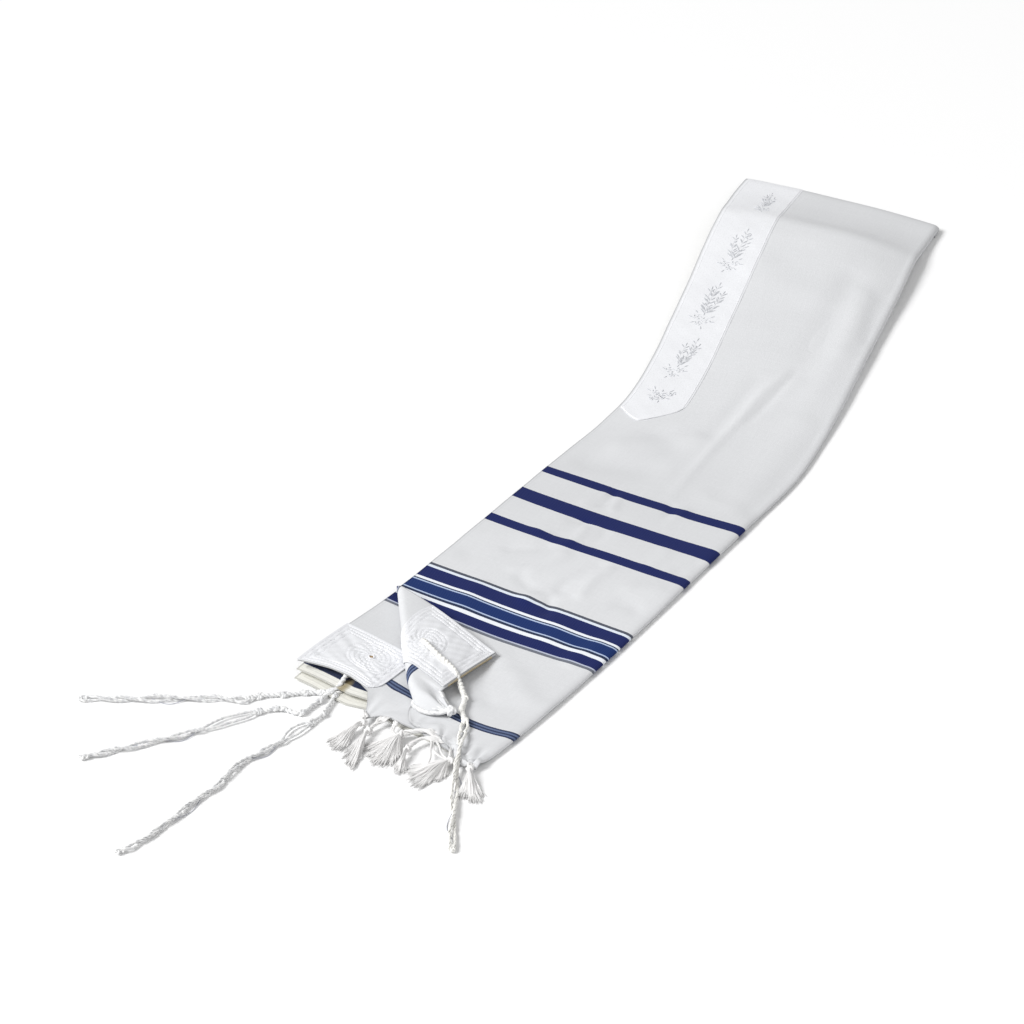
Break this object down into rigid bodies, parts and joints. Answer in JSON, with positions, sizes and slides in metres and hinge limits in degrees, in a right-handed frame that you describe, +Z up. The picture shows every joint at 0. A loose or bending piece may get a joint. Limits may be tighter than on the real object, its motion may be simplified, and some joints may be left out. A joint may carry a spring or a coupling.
{
  "type": "tallit prayer shawl",
  "caption": "Folded white tallit prayer shawl with blue striped ends, an embroidered neckband, satin corner patches, tied cords and a knotted fringe, laid flat with one corner turned back.",
  "frame": {"origin": "bottom centre of the cloth's bounding box (the free cords left out), on the surface it lies on", "axes": "+Y along the folded strip from the fringed end to the folded end, +X across it towards the folded long side (the neckband is on the -X side), +Z up"},
  "size_m": [0.4197, 1.3719, 0.0351],
  "materials": {
    "wool": "matt off-white plain-woven wool with woven navy, blue and grey-blue stripes",
    "satin": "bright white satin with stitching and silver-grey embroidery",
    "cord": "matt twisted wool cord, warm white",
    "fringe": "loose wool threads, white"
  },
  "bodies": {
    "root": {"shawl_top_layer": "wool", "shawl_second_layer": "wool", "shawl_hidden_layers": "wool", "neckband": "satin", "patch_second_layer": "satin", "patch_turned_corner": "satin", "tzitzit_second_layer": "cord", "tzitzit_third_layer": "cord", "tzitzit_fourth_layer": "cord", "tzitzit_turned_corner": "cord", "fringe_tassel_1": "fringe", "fringe_tassel_2": "fringe", "fringe_tassel_3": "fringe", "fringe_tassel_4": "fringe", "fringe_tassel_5": "fringe", "fringe_tassel_6": "fringe"}
  },
  "joints": []
}
